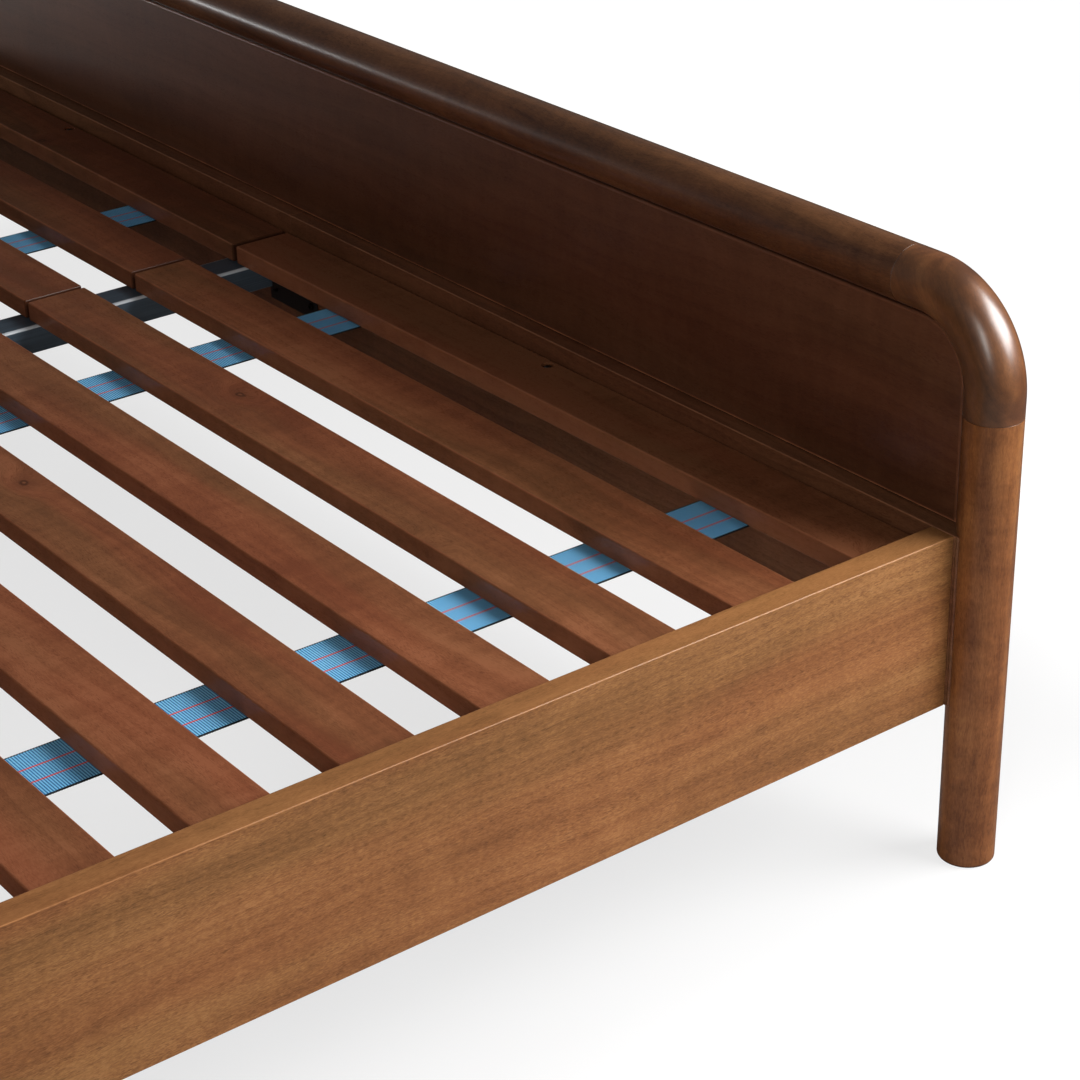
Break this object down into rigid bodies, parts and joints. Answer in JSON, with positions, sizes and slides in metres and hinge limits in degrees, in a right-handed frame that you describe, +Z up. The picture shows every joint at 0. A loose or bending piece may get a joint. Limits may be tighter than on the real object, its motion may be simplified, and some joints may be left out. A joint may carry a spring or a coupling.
{
  "type": "bed frame",
  "caption": "Wooden bed frame with a low footboard and a taller headboard, round posts bent into round top rails, split slats on webbing and a steel centre beam on levelling legs.",
  "frame": {"origin": "on the floor, at the centre of the frame's length and width", "axes": "+Z up, +Y from the foot end to the head end, +X to the right of someone lying on their back with their head at +Y"},
  "size_m": [2.073, 2.168, 1.06],
  "materials": {
    "turned_wood": "satin lacquer over brown-stained hardwood",
    "panel_wood": "satin lacquer over brown-stained veneer",
    "rail_wood": "satin lacquer over brown-stained veneer",
    "slat_wood": "thin satin coat over reddish-brown hardwood",
    "dowel_wood": "bare, fluted",
    "webbing": "ribbed woven strap, blue with two fine red stripes and black edges",
    "black_steel": "dark grey powder coat",
    "zinc_steel": "zinc plated",
    "glide_steel": "blackened steel",
    "black_plastic": "moulded, fine texture"
  },
  "bodies": {
    "bed": {"beam_hangers": "black_steel", "bracket_bolts": "zinc_steel", "centre_beam": "black_steel", "centre_leg_foot": "black_steel", "centre_leg_head": "black_steel", "centre_leg_middle": "black_steel", "corner_brackets": "black_steel", "foot_corner_left": "turned_wood", "foot_corner_right": "turned_wood", "foot_lower_rail_left": "rail_wood", "foot_lower_rail_right": "rail_wood", "foot_panel": "panel_wood", "foot_post_left": "turned_wood", "foot_post_right": "turned_wood", "foot_slat_cleat": "slat_wood", "foot_top_rail": "turned_wood", "frame_dowels": "dowel_wood", "head_corner_left": "turned_wood", "head_corner_right": "turned_wood", "head_lower_rail_left": "rail_wood", "head_lower_rail_right": "rail_wood", "head_panel": "panel_wood", "head_post_left": "turned_wood", "head_post_right": "turned_wood", "head_slat_cleat": "slat_wood", "head_top_rail": "turned_wood", "leg_plugs": "black_plastic", "leg_screws": "zinc_steel", "rail_inserts": "zinc_steel", "side_rail_left": "rail_wood", "side_rail_right": "rail_wood", "slat_ledger_left": "slat_wood", "slat_ledger_right": "slat_wood", "slat_row_01": "slat_wood", "slat_row_02": "slat_wood", "slat_row_03": "slat_wood", "slat_row_04": "slat_wood", "slat_row_05": "slat_wood", "slat_row_06": "slat_wood", "slat_row_07": "slat_wood", "slat_row_08": "slat_wood", "slat_row_09": "slat_wood", "slat_row_10": "slat_wood", "slat_row_11": "slat_wood", "slat_row_12": "slat_wood", "slat_row_13": "slat_wood", "slat_row_14": "slat_wood", "slat_row_15": "slat_wood", "slat_row_16": "slat_wood", "slat_row_17": "slat_wood", "slat_screws": "zinc_steel", "strap_inner_left": "webbing", "strap_inner_right": "webbing", "strap_outer_left": "webbing", "strap_outer_right": "webbing", "strap_staples": "zinc_steel", "wood_screws": "zinc_steel"},
    "foot_glide": {"levelling_glide_foot": "glide_steel"},
    "head_glide": {"levelling_glide_head": "glide_steel"},
    "middle_glide": {"levelling_glide_middle": "glide_steel"}
  },
  "joints": [
    {"name": "foot_glide_screw", "type": "slide", "parent": "bed", "child": "foot_glide", "axis": [0, 0, -1], "range_m": [0, 0.012]},
    {"name": "head_glide_screw", "type": "slide", "parent": "bed", "child": "head_glide", "axis": [0, 0, -1], "range_m": [0, 0.012]},
    {"name": "middle_glide_screw", "type": "slide", "parent": "bed", "child": "middle_glide", "axis": [0, 0, -1], "range_m": [0, 0.012]}
  ]
}
